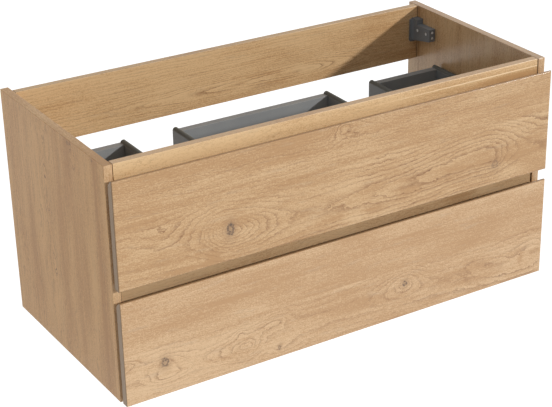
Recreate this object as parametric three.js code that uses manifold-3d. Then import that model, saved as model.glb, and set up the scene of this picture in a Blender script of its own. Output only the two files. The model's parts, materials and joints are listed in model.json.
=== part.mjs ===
// Wall-hung bathroom vanity cabinet: two handleless drawers on telescopic undermount runners, in a
// frame of boards that is open on top for the basin and open behind for the pipes.
// Millimetres. +X to the right, +Y to the wall, +Z up. The origin is the middle of the footprint,
// at the height of the sides' lower edges.
import * as THREE from "three";
import { RoundedBoxGeometry } from "three/addons/geometries/RoundedBoxGeometry.js";
import { mergeVertices } from "three/addons/utils/BufferGeometryUtils.js";
import Module from "manifold-3d";

const wasm = await Module();
wasm.setup();

// ---- driving sizes: cabinet --------------------------------------------------------------------
const cabinetWidth = 995;
const cabinetHeight = 481;
const sideDepth = 450;
const boardThickness = 16.8;
const boardArris = 0.8; // rounding on the edges of the boards
const seatGap = 0.3; // between pieces that are fixed together
const railEndGap = 0.8; // each end of a rail to the side panel
const railRecess = 1.1; // front rails behind the front edges of the sides
const railBelowTop = 0.5; // rear rail below the top of the sides
const rearRailSetBack = 18.2; // room behind the rear rail for the rail on the wall
const rearRailThickness = 15.6;
const rearRailHeight = 121;
const middleRailHeight = 60;
const middleRailRise = 1.6; // above the lower edge of the upper front
const middleRailRecess = 3; // behind the front edges of the sides

// ---- driving sizes: drawer fronts --------------------------------------------------------------
const frontThickness = 16.8;
const frontStandOff = 7.4; // shadow gap between the fronts and the carcass
const frontSideReveal = 1.5; // each end of a front inside the cabinet's width
const frontTopReveal = 21.8; // top of the upper front below the top of the sides
const frontBottomReveal = 1.5; // bottom of the lower front above the bottom of the sides
const frontSpacing = 24.1; // finger gap between the two fronts
const gripLip = 4.5; // what the bevel leaves of the thickness at the upper edge
const gripBevelHeight = 11.8;

// ---- driving sizes: drawer boxes ---------------------------------------------------------------
const boxSideClearance = 6.2; // drawer wall to side panel
const wallThickness = 13;
const wallHeight = 105;
const rearWallThickness = 17;
const rearWallDrop = 4.6; // rear walls below the crests of the side walls
const drawerBaseThickness = 13;
const drawerBaseRecess = 13; // room under the base for the runners
const pipeNotchWidth = 104;
const pipeNotchDepth = 190;
const pipeNotchOffset = 240; // middle of each notch from the middle of the cabinet
const railOverBox = 12; // front rail above the crests of the upper drawer

// ---- driving sizes: runners --------------------------------------------------------------------
const runnerLength = 350;
const runnerSetBack = 3; // cabinet member behind the front edge of the side panel
const boxShorterThanRunner = 9;
const runnerSheet = 1.2;
const runnerOverBottomPanel = 2.8;
const runnerBelowWalls = 3.5; // underside of the cabinet member below the drawer walls
const runnerInset = 24; // channels from the side panel
const runnerChannelWidth = 23;
const runnerLip = 6; // lips that hold the telescopic member in the channels
const runnerChannelHeight = 7.3;
const runnerFlangeHeight = 33; // ears on the side panel, above the drawer walls' lower edges
const runnerStripHeight = 10; // flange between the ears
const runnerEarLength = 34;
const runnerScrewPlaces = [37, 133, 261]; // from the front edge of the side panel
const runnerScrewHeight = 24;
const runnerScrewRadius = 2.1;
const pilotDepth = 11;
const telescopeLength = 320;
const telescopeWeb = 4;
const telescopeClearance = 0.7; // each side, inside the channels
const telescopeSetBack = 2; // behind the front of the cabinet member

// ---- driving sizes: locking clips behind the fronts --------------------------------------------
const clipWidth = 22;
const clipLength = 46;
const clipHeight = 11.4;
const clipLeverLength = 14; // thumb end that is pulled down to free the front
const clipLeverFillet = 5;
const clipNose = 2; // chamfer at the front
const clipThumbRadius = 6;
const clipTailSlope = 8;
const clipTailThickness = 3;
const clipScrewFromRear = 14;
const clipScrewRadius = 2;

// ---- driving sizes: wall hangers ---------------------------------------------------------------
const hangerBelowTop = 25.4; // top of the housing below the top of the sides
const hangerHeadHeight = 11.4; // step from the head down to the arm
const hangerHeadLength = 16;
const hangerArmLength = 62.2; // from the front of the plate
const hangerArmHeight = 27.7; // at the end face
const hangerArmTaper = 11.5; // how much deeper the arm is at the plate
const hangerWidth = 16;
const hangerWall = 2;
const hangerEndWall = 4;
const hangerArris = 1.2;
const plateThickness = 3.7;
const plateWidth = 23.2;
const plateBelowHead = 1.8; // top of the plate below the top of the head
const plateHeight = 51.9;
const plateCorner = 4;
const plateFillet = 5.5;
const fixingScrewPlaces = [17.7, 48.8]; // from the front of the plate
const fixingScrewBelowTop = 49.4; // below the top of the sides
const fixingScrewRadius = 2;
const fixingHeadRadius = 3.2;
const fixingBossRadius = 3.3;
const fixingScrewBite = 10; // length in the side panel
const screwHeadHeight = 1.8;
const screwClearance = 0.3;
const adjusterRadius = 2.2;
const adjusterHeadRadius = 2.9;
const heightScrewBelowArm = 7; // below the top of the arm
const depthScrewBelowArm = 19.6;
const adjusterReach = 24; // length inside the housing
const hookPlate = 3;
const hookNeckHeight = 15;
const hookTailLength = 29.9; // in front of the plate
const hookTailHeight = 5;
const hookClawDrop = 14;
const hookClawThickness = 5;
const hookClawToWall = 3.6;
const hookHeightTravel = 4; // each way, by the upper screw
const hookDepthTravel = 3; // each way, by the lower screw
const hookSlotClearance = 1; // each side of the hook's neck
const sliderSheet = 2;
const sliderFlangeAhead = 4.8; // of the hook's tail at the end of its travel
const sliderBelowRoof = 0.8; // top of the slider below the housing's roof

// ---- places worked out from them ---------------------------------------------------------------
const totalDepth = sideDepth + frontStandOff + frontThickness;
const wallY = totalDepth / 2;
const frontFaceY = -totalDepth / 2;
const frontBackY = frontFaceY + frontThickness;
const carcassFrontY = wallY - sideDepth;
const railFrontY = carcassFrontY + railRecess;
const rearRailFaceY = wallY - rearRailSetBack - rearRailThickness;
const innerX = cabinetWidth / 2 - boardThickness;
const railHalf = innerX - railEndGap;
const frontHeight = (cabinetHeight - frontTopReveal - frontBottomReveal - frontSpacing) / 2;
const frontHalf = cabinetWidth / 2 - frontSideReveal;
const lowerFrontZ = frontBottomReveal;
const upperFrontZ = frontBottomReveal + frontHeight + frontSpacing;
const boxLift = boardThickness + runnerOverBottomPanel + runnerBelowWalls - frontBottomReveal;
const boxLength = runnerLength - boxShorterThanRunner;
const boxRearY = frontBackY + boxLength;
const boxFrontY = frontBackY + seatGap;
const boxHalf = innerX - boxSideClearance;
const boxInnerHalf = boxHalf - wallThickness;
const notchFrontY = boxRearY - pipeNotchDepth;
const notchInnerX = pipeNotchOffset - pipeNotchWidth / 2;
const notchOuterX = pipeNotchOffset + pipeNotchWidth / 2;

// ---- wall hanger: shared places ----------------------------------------------------------------
const plateBackY = rearRailFaceY - seatGap;
const plateFrontY = plateBackY - plateThickness;
const hangerTopZ = cabinetHeight - hangerBelowTop;
const armTopZ = hangerTopZ - hangerHeadHeight;
const armEndY = plateFrontY - hangerArmLength;
const armEndBottomZ = armTopZ - hangerArmHeight;
const armRootBottomZ = armEndBottomZ - hangerArmTaper;
const housingOuterX = innerX - seatGap; // against the side panel
const housingInnerX = housingOuterX - hangerWidth;
const adjusterX = (housingOuterX + housingInnerX) / 2;
const hookX0 = adjusterX - hookPlate / 2;
const hookX1 = adjusterX + hookPlate / 2;
const hookNeckTopZ = armTopZ - hangerWall - 2 * hookHeightTravel;
const hookNeckBottomZ = hookNeckTopZ - hookNeckHeight;
const hookTailFrontY = plateFrontY - hookTailLength;

// ---- finishes ----------------------------------------------------------------------------------
const finish = (color, roughness, metalness) =>
  new THREE.MeshStandardMaterial({ color, roughness, metalness });
const oakDecor = finish(0xcda579, 0.55, 0);
const drawerFoil = finish(0x52524f, 0.5, 0);
const zincedSteel = finish(0xb9bcbe, 0.35, 0.9);
const hangerPlastic = finish(0x3d4042, 0.5, 0);
const clipPlastic = finish(0x6a6d70, 0.5, 0);

// ---- tools for shapes --------------------------------------------------------------------------
// Merges a closed geometry's corners, so that it can be joined and cut.
function welded(geometry) {
  const bare = geometry.index ? geometry.toNonIndexed() : geometry.clone();
  for (const name of Object.keys(bare.attributes)) {
    if (name !== "position") bare.deleteAttribute(name);
  }
  return mergeVertices(bare, 1e-4);
}

function solid(geometry) {
  const { attributes, index } = welded(geometry);
  return new wasm.Manifold(
    new wasm.Mesh({
      numProp: 3,
      vertProperties: attributes.position.array,
      triVerts: new Uint32Array(index.array),
    }),
  );
}

function geometryOf(manifold) {
  const { vertProperties, triVerts } = manifold.getMesh();
  const geometry = new THREE.BufferGeometry();
  geometry.setAttribute("position", new THREE.BufferAttribute(vertProperties, 3));
  geometry.setIndex(new THREE.BufferAttribute(triVerts, 1));
  geometry.computeVertexNormals();
  return geometry;
}

function joined(first, ...others) {
  return geometryOf(others.reduce((sum, other) => sum.add(solid(other)), solid(first)));
}

function cut(body, ...tools) {
  return geometryOf(tools.reduce((rest, tool) => rest.subtract(solid(tool)), solid(body)));
}

function common(first, second) {
  return geometryOf(solid(first).intersect(solid(second)));
}

// A plain block between two corners, for cutting and for small pieces.
function block([x0, y0, z0], [x1, y1, z1]) {
  const geometry = new THREE.BoxGeometry(x1 - x0, y1 - y0, z1 - z0);
  return geometry.translate((x0 + x1) / 2, (y0 + y1) / 2, (z0 + z1) / 2);
}

// A board between two corners, with its edges rounded over.
function board([x0, y0, z0], [x1, y1, z1], radius = boardArris) {
  const geometry = new RoundedBoxGeometry(x1 - x0, y1 - y0, z1 - z0, 1, radius);
  return welded(geometry.translate((x0 + x1) / 2, (y0 + y1) / 2, (z0 + z1) / 2));
}

function outline(points) {
  return new THREE.Shape(points.map(([a, b]) => new THREE.Vector2(a, b)));
}

const axisX = new THREE.Vector3(1, 0, 0);
const axisY = new THREE.Vector3(0, 1, 0);
const axisZ = new THREE.Vector3(0, 0, 1);

function drawnOut(shape, depth, curveSegments) {
  return new THREE.ExtrudeGeometry(shape, { depth, bevelEnabled: false, curveSegments });
}

// A section given in (y, z), drawn out along X.
function alongX(shape, x0, x1, curveSegments = 8) {
  const geometry = drawnOut(shape, x1 - x0, curveSegments);
  geometry.applyMatrix4(new THREE.Matrix4().makeBasis(axisY, axisZ, axisX));
  return geometry.translate(x0, 0, 0);
}

// A section given in (x, z), drawn out along Y.
function alongY(shape, y0, y1, curveSegments = 8) {
  const geometry = drawnOut(shape, y1 - y0, curveSegments);
  geometry.applyMatrix4(new THREE.Matrix4().makeBasis(axisX, axisZ, axisY.clone().negate()));
  return geometry.translate(0, y1, 0);
}

// A plan given in (x, y), drawn out along Z.
function alongZ(shape, z0, z1, curveSegments = 8) {
  return drawnOut(shape, z1 - z0, curveSegments).translate(0, 0, z0);
}

// A round bar along X or Y, between two places on that axis.
function barX(radius, x0, x1, y, z, sides = 16) {
  const geometry = new THREE.CylinderGeometry(radius, radius, x1 - x0, sides);
  return geometry.rotateZ(-Math.PI / 2).translate((x0 + x1) / 2, y, z);
}

function barY(radius, x, y0, y1, z, sides = 16) {
  const geometry = new THREE.CylinderGeometry(radius, radius, y1 - y0, sides);
  return geometry.translate(0, (y0 + y1) / 2, 0).translate(x, 0, z);
}

// The same piece for the left-hand side of the cabinet, with its faces kept pointing outwards.
function leftHand(geometry) {
  const mirrored = welded(geometry).scale(-1, 1, 1);
  const corners = mirrored.index.array;
  for (let i = 0; i < corners.length; i += 3) {
    [corners[i + 1], corners[i + 2]] = [corners[i + 2], corners[i + 1]];
  }
  return mirrored;
}

// ---- the cabinet -------------------------------------------------------------------------------
const cabinet = new THREE.Group();
const carcass = new THREE.Group();
const wallHangers = new THREE.Group();
cabinet.add(carcass, wallHangers);

function addPiece(group, name, geometry, material) {
  const mesh = new THREE.Mesh(geometry, material);
  mesh.name = name;
  group.add(mesh);
  return mesh;
}

// Adds a right-hand piece and its mirrored twin.
function addPair(group, name, geometry, material) {
  addPiece(group, `${name}_right`, geometry, material);
  addPiece(group, `${name}_left`, leftHand(geometry), material);
}

// The two drawers differ only in height and in the upper one's pipe notches.
const drawers = [
  { name: "upper", frontZ: upperFrontZ, notched: true },
  { name: "lower", frontZ: lowerFrontZ, notched: false },
].map((drawer) => {
  const wallZ = drawer.frontZ + boxLift;
  const baseZ = wallZ + drawerBaseRecess;
  return { ...drawer, wallZ, baseZ, baseTopZ: baseZ + drawerBaseThickness, crestZ: wallZ + wallHeight };
});
const [upperDrawer] = drawers;

// ---- carcass boards ----------------------------------------------------------------------------
function runnerScrews() {
  return drawers.flatMap(({ wallZ }) =>
    runnerScrewPlaces.map((place) => ({ y: carcassFrontY + place, z: wallZ + runnerScrewHeight })),
  );
}

function fixingScrews() {
  const z = cabinetHeight - fixingScrewBelowTop;
  return fixingScrewPlaces.map((place) => ({ y: plateFrontY - place, z }));
}

function sidePanel() {
  const panel = board([innerX, carcassFrontY, 0], [cabinetWidth / 2, wallY, cabinetHeight]);
  const pilots = runnerScrews().map(({ y, z }) =>
    barX(runnerScrewRadius, innerX - 1, innerX + pilotDepth, y, z, 12));
  const fixingHoles = fixingScrews().map(({ y, z }) =>
    barX(fixingScrewRadius + screwClearance, innerX - 1, innerX + fixingScrewBite + 1, y, z, 12));
  return cut(panel, ...pilots, ...fixingHoles);
}

function frontTopRail() {
  const z0 = upperDrawer.crestZ + railOverBox;
  return board([-railHalf, railFrontY, z0], [railHalf, railFrontY + boardThickness, cabinetHeight]);
}

function middleRail() {
  const y0 = carcassFrontY + middleRailRecess;
  const topZ = upperFrontZ + middleRailRise;
  return board([-railHalf, y0, topZ - middleRailHeight], [railHalf, y0 + boardThickness, topZ]);
}

function bottomPanel() {
  return board([-railHalf, railFrontY, 0], [railHalf, wallY, boardThickness]);
}

// ---- rear rail and its hook slots --------------------------------------------------------------
// The slot that the hook's neck passes through, in the rear rail and in the housing's plate.
function hookSlot(y0, y1) {
  return block(
    [hookX0 - hookSlotClearance, y0, hookNeckBottomZ - hookHeightTravel - hookSlotClearance / 2],
    [hookX1 + hookSlotClearance, y1, hookNeckTopZ + hookHeightTravel + hookSlotClearance / 2],
  );
}

function rearTopRail() {
  const topZ = cabinetHeight - railBelowTop;
  const rail = board(
    [-railHalf, rearRailFaceY, topZ - rearRailHeight],
    [railHalf, rearRailFaceY + rearRailThickness, topZ],
  );
  const slot = hookSlot(rearRailFaceY - 1, rearRailFaceY + rearRailThickness + 1);
  return cut(rail, slot, leftHand(slot));
}

addPair(carcass, "side_panel", sidePanel(), oakDecor);
addPiece(carcass, "front_top_rail", frontTopRail(), oakDecor);
addPiece(carcass, "middle_rail", middleRail(), oakDecor);
addPiece(carcass, "rear_top_rail", rearTopRail(), oakDecor);
addPiece(carcass, "bottom_panel", bottomPanel(), oakDecor);

// ---- wall hanger: moulded housing --------------------------------------------------------------
// The side view of the housing, drawn in by a margin for the hollow inside it.
function housingOutline(margin, endMargin) {
  const rootY = plateFrontY + (margin ? 0 : plateThickness);
  const endY = armEndY + endMargin;
  const slope = hangerArmTaper / hangerArmLength;
  const bottomAt = (y) => armRootBottomZ + (plateFrontY - y) * slope + margin;
  return outline([
    [rootY, bottomAt(rootY)],
    [rootY, hangerTopZ - margin],
    [plateFrontY - hangerHeadLength + margin, hangerTopZ - margin],
    [plateFrontY - hangerHeadLength + margin, armTopZ - margin],
    [endY, armTopZ - margin],
    [endY, bottomAt(endY)],
  ]);
}

// The housing's plate on the rear rail, with the two corners away from the side panel rounded.
function roundedPlate() {
  const x0 = housingOuterX - plateWidth;
  const z1 = hangerTopZ - plateBelowHead;
  const z0 = z1 - plateHeight;
  const shape = new THREE.Shape();
  shape.moveTo(housingOuterX, z0);
  shape.lineTo(housingOuterX, z1);
  shape.lineTo(x0 + plateCorner, z1);
  shape.absarc(x0 + plateCorner, z1 - plateCorner, plateCorner, Math.PI / 2, Math.PI, false);
  shape.lineTo(x0, z0 + plateCorner);
  shape.absarc(x0 + plateCorner, z0 + plateCorner, plateCorner, Math.PI, 1.5 * Math.PI, false);
  return alongY(shape, plateFrontY, plateBackY, 5);
}

// The hollow root fillet between the plate and the inner face of the body.
function plateFilletPiece() {
  const x = housingInnerX - plateFillet;
  const y = plateFrontY - plateFillet;
  const shape = new THREE.Shape();
  shape.moveTo(housingInnerX + 1, plateFrontY + 1);
  shape.lineTo(x, plateFrontY + 1);
  shape.lineTo(x, plateFrontY);
  shape.absarc(x, y, plateFillet, Math.PI / 2, 0, true);
  shape.lineTo(housingInnerX + 1, y);
  return alongZ(shape, armRootBottomZ + 2, hangerTopZ - plateBelowHead - 1, 5);
}

function hangerHousing() {
  const arrisX = housingInnerX + hangerArris;
  const arrisY = armEndY + hangerArris;
  const planShape = new THREE.Shape();
  planShape.moveTo(housingOuterX, plateBackY);
  planShape.lineTo(housingInnerX, plateBackY);
  planShape.lineTo(housingInnerX, arrisY);
  planShape.absarc(arrisX, arrisY, hangerArris, Math.PI, 1.5 * Math.PI, false);
  planShape.lineTo(housingOuterX - hangerArris, armEndY);
  planShape.lineTo(housingOuterX, arrisY);
  const plan = alongZ(planShape, armRootBottomZ - 10, hangerTopZ + 10, 3);
  const body = common(alongX(housingOutline(0, 0), housingInnerX, housingOuterX), plan);
  const shell = joined(body, roundedPlate(), plateFilletPiece());
  const hollow = alongX(
    housingOutline(hangerWall, hangerEndWall), housingInnerX + hangerWall, housingOuterX + 1);
  const bosses = fixingScrews().map(({ y, z }) =>
    barX(fixingBossRadius, housingInnerX + hangerWall / 2, housingOuterX, y, z));
  const fixingHoles = fixingScrews().flatMap(({ y, z }) => [
    barX(fixingScrewRadius + screwClearance, housingInnerX - 1, housingOuterX + 1, y, z, 12),
    barX(fixingHeadRadius + screwClearance, housingInnerX - 1,
      housingInnerX + screwHeadHeight - screwClearance, y, z),
  ]);
  const seatY = armEndY + screwHeadHeight - screwClearance;
  const throughY = armEndY + hangerEndWall + 1;
  const adjusterHoles = [armTopZ - heightScrewBelowArm, armTopZ - depthScrewBelowArm].flatMap((z) => [
    barY(adjusterRadius + screwClearance, adjusterX, armEndY - 1, throughY, z, 12),
    barY(adjusterHeadRadius + screwClearance, adjusterX, armEndY - 1, seatY, z),
  ]);
  return cut(
    joined(cut(shell, hollow), ...bosses),
    ...fixingHoles, ...adjusterHoles, hookSlot(plateFrontY - 1, plateBackY + 1),
  );
}

// ---- wall hanger: slider, hook and screws ------------------------------------------------------
const [firstBoss, secondBoss] = fixingScrews();
const flangeFrontY = hookTailFrontY - hookDepthTravel - sliderFlangeAhead;

// A bent strip that the depth screw draws to and fro, beside the hook.
function hangerSlider() {
  const x0 = hookX0 - seatGap - sliderSheet;
  const z0 = hookNeckBottomZ + seatGap;
  const z1 = armTopZ - hangerWall - sliderBelowRoof;
  const rearY = plateFrontY - hookDepthTravel - 1;
  const strip = block([x0, flangeFrontY, z0], [x0 + sliderSheet, rearY, z1]);
  const flange = block([x0, flangeFrontY, z0], [hookX1 + 2, flangeFrontY + sliderSheet, z1]);
  const bossSlot = fixingBossRadius + screwClearance;
  const slotReach = bossSlot + hookDepthTravel;
  const slot = block(
    [x0 - 1, firstBoss.y - slotReach, firstBoss.z - bossSlot],
    [x0 + sliderSheet + 1, firstBoss.y + slotReach, firstBoss.z + bossSlot],
  );
  const screwHoles = [heightScrewBelowArm, depthScrewBelowArm].map((drop) =>
    barY(adjusterRadius + screwClearance, adjusterX, flangeFrontY - 1, flangeFrontY + sliderSheet + 1,
      armTopZ - drop, 12));
  return cut(joined(strip, flange), slot, ...screwHoles);
}

// The hook: a tail inside the housing, a neck through the rear rail and a claw behind it.
function hangerHook() {
  const clawBackY = wallY - hookClawToWall;
  const clawFrontY = clawBackY - hookClawThickness;
  const neckFrontY = firstBoss.y + fixingBossRadius + screwClearance + hookDepthTravel;
  const clawTipZ = hookNeckBottomZ - hookClawDrop;
  const tipChamfer = hookClawThickness / 2;
  const shape = outline([
    [hookTailFrontY, hookNeckBottomZ],
    [hookTailFrontY, hookNeckBottomZ + hookTailHeight],
    [neckFrontY, hookNeckBottomZ + hookTailHeight],
    [neckFrontY, hookNeckTopZ],
    [clawBackY - tipChamfer, hookNeckTopZ],
    [clawBackY, hookNeckTopZ - tipChamfer],
    [clawBackY, clawTipZ + tipChamfer],
    [clawBackY - tipChamfer, clawTipZ],
    [clawFrontY, clawTipZ],
    [clawFrontY, hookNeckBottomZ],
  ]);
  return alongX(shape, hookX0, hookX1);
}

// Each screw's head has a cross drive, cut as two crossed slots.
const driveLength = 3.4;
const driveWidth = 0.8;
const driveDepth = 0.9;
const screwHeadThickness = screwHeadHeight - 2 * screwClearance;

function fixingScrew({ y, z }) {
  const headX = housingInnerX;
  const head = barX(fixingHeadRadius, headX, headX + screwHeadThickness, y, z, 20);
  const midHeadX = headX + screwHeadHeight / 2;
  const shank = barX(fixingScrewRadius, midHeadX, innerX + fixingScrewBite, y, z, 12);
  const drives = [[driveLength, driveWidth], [driveWidth, driveLength]].map(([dy, dz]) =>
    block([headX - 1, y - dy / 2, z - dz / 2], [headX + driveDepth, y + dy / 2, z + dz / 2]));
  return cut(joined(head, shank), ...drives);
}

function adjusterScrew(drop) {
  const z = armTopZ - drop;
  const midHeadY = armEndY + screwHeadHeight / 2;
  const driveEndY = armEndY + driveDepth;
  const head = barY(adjusterHeadRadius, adjusterX, armEndY, armEndY + screwHeadThickness, z, 20);
  const shank = barY(adjusterRadius, adjusterX, midHeadY, armEndY + adjusterReach, z, 12);
  const drives = [[driveLength, driveWidth], [driveWidth, driveLength]].map(([dx, dz]) =>
    block([adjusterX - dx / 2, armEndY - 1, z - dz / 2], [adjusterX + dx / 2, driveEndY, z + dz / 2]));
  return cut(joined(head, shank), ...drives);
}

addPair(wallHangers, "hanger_housing", hangerHousing(), hangerPlastic);
addPair(wallHangers, "hanger_slider", hangerSlider(), zincedSteel);
addPair(wallHangers, "hanger_hook", hangerHook(), zincedSteel);
addPair(wallHangers, "hanger_height_screw", adjusterScrew(heightScrewBelowArm), zincedSteel);
addPair(wallHangers, "hanger_depth_screw", adjusterScrew(depthScrewBelowArm), zincedSteel);
addPair(wallHangers, "hanger_rear_fixing_screw", fixingScrew(firstBoss), zincedSteel);
addPair(wallHangers, "hanger_front_fixing_screw", fixingScrew(secondBoss), zincedSteel);

// ---- undermount runners ------------------------------------------------------------------------
// Sections are in (x, z) of the right-hand side: inset from the side panel, and height above the
// lower edge of the drawer's walls.
const channelInset = runnerInset + runnerChannelWidth;
const channelBottom = -runnerBelowWalls;
const channelTop = channelBottom + runnerChannelHeight;
const topPlate = drawerBaseRecess - seatGap;
const drawerChannelBottom = topPlate - runnerChannelHeight;

function runnerSection(wallZ, points) {
  return outline(points.map(([inset, height]) => [innerX - inset, wallZ + height]));
}

function cabinetMember({ wallZ }) {
  const sheet = runnerSheet;
  const webTop = channelBottom + sheet;
  const lipBottom = channelTop - sheet;
  const section = runnerSection(wallZ, [
    [seatGap, channelBottom], [channelInset, channelBottom],
    [channelInset, channelTop], [channelInset - runnerLip, channelTop],
    [channelInset - runnerLip, lipBottom], [channelInset - sheet, lipBottom],
    [channelInset - sheet, webTop], [runnerInset + sheet, webTop],
    [runnerInset + sheet, lipBottom], [runnerInset + runnerLip, lipBottom],
    [runnerInset + runnerLip, channelTop], [runnerInset, channelTop],
    [runnerInset, webTop], [seatGap + sheet, webTop],
    [seatGap + sheet, runnerFlangeHeight], [seatGap, runnerFlangeHeight],
  ]);
  const y0 = carcassFrontY + runnerSetBack;
  const profile = alongY(section, y0, y0 + runnerLength);
  const screws = runnerScrewPlaces.map((place) => carcassFrontY + place);
  const earEdges = screws.flatMap((y) => [y - runnerEarLength / 2, y + runnerEarLength / 2]);
  const openings = [...earEdges.slice(1), y0 + runnerLength + 1];
  const windows = [];
  for (let i = 0; i < openings.length; i += 2) {
    windows.push(block(
      [innerX - 4, openings[i], wallZ + runnerStripHeight],
      [innerX, openings[i + 1], wallZ + runnerFlangeHeight + 1],
    ));
  }
  const holes = screws.map((y) =>
    barX(runnerScrewRadius + screwClearance, innerX - 4, innerX, y, wallZ + runnerScrewHeight, 12));
  return cut(profile, ...windows, ...holes);
}

function telescopicMember({ wallZ }) {
  const sheet = runnerSheet;
  const flangeGap = runnerSheet + telescopeClearance;
  const low = channelBottom + sheet + seatGap;
  const high = topPlate - sheet - seatGap;
  const middle = runnerInset + runnerChannelWidth / 2;
  const [outer, inner] = [runnerInset + flangeGap, channelInset - flangeGap];
  const [webOuter, webInner] = [middle - telescopeWeb / 2, middle + telescopeWeb / 2];
  const section = runnerSection(wallZ, [
    [outer, low], [inner, low], [inner, low + sheet], [webInner, low + sheet],
    [webInner, high - sheet], [inner, high - sheet], [inner, high], [outer, high],
    [outer, high - sheet], [webOuter, high - sheet], [webOuter, low + sheet], [outer, low + sheet],
  ]);
  const y0 = carcassFrontY + runnerSetBack + telescopeSetBack;
  return alongY(section, y0, y0 + telescopeLength);
}

function drawerMember({ wallZ }) {
  const sheet = runnerSheet;
  const lipTop = drawerChannelBottom + sheet;
  const section = runnerSection(wallZ, [
    [runnerInset, drawerChannelBottom], [runnerInset + runnerLip, drawerChannelBottom],
    [runnerInset + runnerLip, lipTop], [runnerInset + sheet, lipTop],
    [runnerInset + sheet, topPlate - sheet], [channelInset - sheet, topPlate - sheet],
    [channelInset - sheet, lipTop], [channelInset - runnerLip, lipTop],
    [channelInset - runnerLip, drawerChannelBottom], [channelInset, drawerChannelBottom],
    [channelInset, topPlate], [runnerInset, topPlate],
  ]);
  return alongY(section, boxFrontY + 1, boxRearY - 1);
}

// ---- locking clip under the drawer's base ------------------------------------------------------
function lockingClip({ wallZ }) {
  const x1 = innerX - channelInset - seatGap;
  const x0 = x1 - clipWidth;
  const z1 = wallZ + topPlate;
  const z0 = z1 - clipHeight;
  const y0 = boxFrontY + 1;
  const y1 = y0 + clipLength;
  const leverY = y0 + clipLeverLength;
  const shape = new THREE.Shape();
  shape.moveTo(y0, z1);
  shape.lineTo(y0, z0 + clipNose);
  shape.lineTo(y0 + clipNose, z0);
  shape.lineTo(leverY, z0);
  shape.absarc(leverY + clipLeverFillet, z0, clipLeverFillet, Math.PI, Math.PI / 2, true);
  shape.lineTo(y1 - clipTailSlope, z0 + clipLeverFillet);
  shape.lineTo(y1, z1 - clipTailThickness);
  shape.lineTo(y1, z1);
  const body = alongX(shape, x0, x1, 4);
  const thumbHollow = barY(clipThumbRadius, x0, y0 - 1, leverY - clipNose, z0, 16);
  const screwHole = new THREE.CylinderGeometry(clipScrewRadius, clipScrewRadius, clipHeight * 2, 12)
    .rotateX(Math.PI / 2).translate((x0 + x1) / 2, y1 - clipScrewFromRear, z1);
  return cut(body, thumbHollow, screwHole);
}

// ---- drawer boxes ------------------------------------------------------------------------------
function drawerFront({ frontZ }) {
  const topZ = frontZ + frontHeight;
  const section = outline([
    [frontFaceY, frontZ + boardArris], [frontFaceY + boardArris, frontZ],
    [frontBackY - boardArris, frontZ], [frontBackY, frontZ + boardArris],
    [frontBackY, topZ - gripBevelHeight], [frontFaceY + gripLip, topZ],
    [frontFaceY + boardArris, topZ], [frontFaceY, topZ - boardArris],
  ]);
  const plan = outline([
    [-frontHalf + boardArris, frontFaceY], [frontHalf - boardArris, frontFaceY],
    [frontHalf, frontFaceY + boardArris], [frontHalf, frontBackY - boardArris],
    [frontHalf - boardArris, frontBackY], [-frontHalf + boardArris, frontBackY],
    [-frontHalf, frontBackY - boardArris], [-frontHalf, frontFaceY + boardArris],
  ]);
  return common(alongX(section, -frontHalf, frontHalf), alongZ(plan, frontZ - 1, topZ + 1));
}

// A wall whose upper edge is fully rounded: its section, in (x or y, z), between two places.
function crestedSection(a0, a1, bottomZ, crestZ) {
  const radius = (a1 - a0) / 2;
  const shape = new THREE.Shape();
  shape.moveTo(a0, bottomZ);
  shape.lineTo(a1, bottomZ);
  shape.lineTo(a1, crestZ - radius);
  shape.absarc(a0 + radius, crestZ - radius, radius, 0, Math.PI, false);
  return shape;
}

function sideWall({ wallZ, crestZ }) {
  return alongY(crestedSection(boxInnerHalf, boxHalf, wallZ, crestZ), boxFrontY, boxRearY, 6);
}

function rearWall({ baseTopZ, crestZ }, x0, x1) {
  return board(
    [x0 + seatGap, boxRearY - rearWallThickness, baseTopZ + seatGap],
    [x1 - seatGap, boxRearY, crestZ - rearWallDrop],
    boardArris / 2,
  );
}

function drawerBase({ baseZ, baseTopZ, notched }) {
  const half = boxInnerHalf - seatGap;
  const corners = [[-half, boxFrontY], [half, boxFrontY], [half, boxRearY]];
  if (notched) {
    for (const side of [1, -1]) {
      const [near, far] = side > 0 ? [notchOuterX, notchInnerX] : [notchInnerX, notchOuterX];
      corners.push([side * near, boxRearY], [side * near, notchFrontY]);
      corners.push([side * far, notchFrontY], [side * far, boxRearY]);
    }
  }
  corners.push([-half, boxRearY]);
  return alongZ(outline(corners), baseZ, baseTopZ);
}

// The three walls round one pipe notch stand on the base.
function addPipeNotch(group, drawer) {
  const z0 = drawer.baseTopZ + seatGap;
  const wall = (x0, x1) =>
    alongY(crestedSection(x0, x1, z0, drawer.crestZ), notchFrontY + seatGap, boxRearY, 6);
  const across = alongX(
    crestedSection(notchFrontY - wallThickness, notchFrontY, z0, drawer.crestZ),
    notchInnerX - wallThickness, notchOuterX + wallThickness, 6,
  );
  addPair(group, "pipe_notch_inner_wall", wall(notchInnerX - wallThickness, notchInnerX), drawerFoil);
  addPair(group, "pipe_notch_outer_wall", wall(notchOuterX, notchOuterX + wallThickness), drawerFoil);
  addPair(group, "pipe_notch_front_wall", across, drawerFoil);
}

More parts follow.
